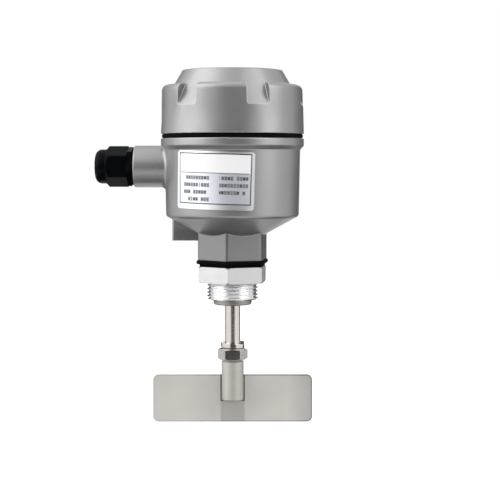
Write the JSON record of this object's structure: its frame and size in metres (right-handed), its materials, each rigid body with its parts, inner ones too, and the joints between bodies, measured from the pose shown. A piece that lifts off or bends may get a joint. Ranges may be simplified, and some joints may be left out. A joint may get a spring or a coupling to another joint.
{
  "type": "rotary level sensor",
  "caption": "Rotary paddle level sensor: grey cast housing with notched screw cover, black cable gland, threaded fitting and a stainless paddle on a driven shaft.",
  "frame": {"origin": "on the shaft axis at the thread seat, the underside of the fitting hexagon", "axes": "+Z along the shaft axis up to the cover, -X along the cable gland, -Y towards the nameplate side"},
  "size_m": [0.1412, 0.0926, 0.2291],
  "materials": {
    "housing_paint": "semi-gloss grey paint over cast aluminium",
    "machined_aluminium": "machined",
    "nameplate_foil": "satin",
    "stainless": "satin",
    "zinc_steel": "zinc plated",
    "bearing_steel": "ground",
    "black_rubber": "matte",
    "gland_nylon": "black nylon",
    "switch_plastic": "black phenolic",
    "terminal_plastic": "ivory",
    "circuit_laminate": "green laminate",
    "brass": "turned"
  },
  "bodies": {
    "housing": {"housing": "housing_paint", "nameplate": "nameplate_foil", "neck_gasket": "black_rubber", "threaded_fitting": "machined_aluminium", "bearing_retainer": "stainless", "shaft_seal": "black_rubber", "bearing_outer_rings": "bearing_steel", "gland_body": "gland_nylon", "gland_sealing_ring": "black_rubber", "chassis_plate": "zinc_steel", "pivot_bushing": "brass", "swing_stop_stud": "brass", "spring_post": "brass", "return_spring": "bearing_steel", "standoffs": "brass", "terminal_plate": "circuit_laminate", "terminal_block": "terminal_plastic", "terminal_screws": "zinc_steel", "terminal_plate_screws": "zinc_steel", "inner_earth_clamp": "zinc_steel", "inner_earth_screw": "brass", "outer_earth_washer": "stainless", "outer_earth_screw": "stainless", "switch_bracket": "zinc_steel", "signal_microswitch": "switch_plastic", "motor_cutout_microswitch": "switch_plastic", "switch_screws": "zinc_steel"},
    "cover_seal": {"cover_o_ring": "black_rubber"},
    "cover": {"cover": "housing_paint"},
    "gland_seal": {"gland_seal_insert": "black_rubber"},
    "gland_nut": {"gland_cap_nut": "gland_nylon"},
    "motor_carriage": {"motor_carriage": "zinc_steel", "spring_pin": "brass", "gear_motor": "zinc_steel", "motor_screws": "zinc_steel"},
    "rotor": {"motor_output_shaft": "bearing_steel", "coupling_sleeve": "zinc_steel", "coupling_set_screws": "zinc_steel", "drive_shaft": "stainless", "shaft_clip": "zinc_steel", "bearing_inner_rings": "bearing_steel", "spring_washer": "stainless", "lock_nut": "stainless", "paddle_hub": "stainless", "paddle_plate": "stainless"},
    "signal_lever": {"signal_switch_lever": "bearing_steel"},
    "cutout_lever": {"motor_cutout_switch_lever": "bearing_steel"}
  },
  "joints": [
    {"name": "cover_rise", "type": "slide", "parent": "housing", "child": "cover_seal", "axis": [0, 0, 1], "range_m": [0, 0.008]},
    {"name": "cover_turn", "type": "hinge", "parent": "cover_seal", "child": "cover", "pos_m": [0, 0, 0.0962], "axis": [0, 0, 1], "range_deg": [0, 1441]},
    {"name": "gland_nut_travel", "type": "slide", "parent": "housing", "child": "gland_seal", "axis": [-1, 0, 0], "range_m": [0, 0.006]},
    {"name": "gland_nut_turn", "type": "hinge", "parent": "gland_seal", "child": "gland_nut", "pos_m": [-0.0678, 0, 0.07515], "axis": [-1, 0, 0], "range_deg": [0, 1441]},
    {"name": "carriage_swing", "type": "hinge", "parent": "housing", "child": "motor_carriage", "pos_m": [0, 0, 0.0535], "axis": [0, 0, 1], "range_deg": [0, 7], "stiffness_Nm_per_rad": 0.5, "springref_deg": -5.73, "deforming": ["return_spring"]},
    {"name": "paddle_turn", "type": "hinge", "parent": "housing", "child": "rotor", "pos_m": [0, 0, 0], "axis": [0, 0, 1], "continuous": true},
    {"name": "signal_lever_press", "type": "hinge", "parent": "housing", "child": "signal_lever", "pos_m": [0.02515, -0.02145, 0.058], "axis": [-0.866, 0.5, 0], "range_deg": [0, 14]},
    {"name": "cutout_lever_press", "type": "hinge", "parent": "housing", "child": "cutout_lever", "pos_m": [0.0196, -0.01825, 0.058], "axis": [-0.866, 0.5, 0], "range_deg": [0, 12]}
  ],
  "couplings": [
    {"joint": "cover_turn", "follows": "cover_rise", "rad_per_m": 3141.6},
    {"joint": "gland_nut_turn", "follows": "gland_nut_travel", "rad_per_m": 4188.8},
    {"joint": "signal_lever_press", "follows": "carriage_swing", "ratio": 2},
    {"joint": "cutout_lever_press", "follows": "carriage_swing", "ratio": 1.7143}
  ]
}
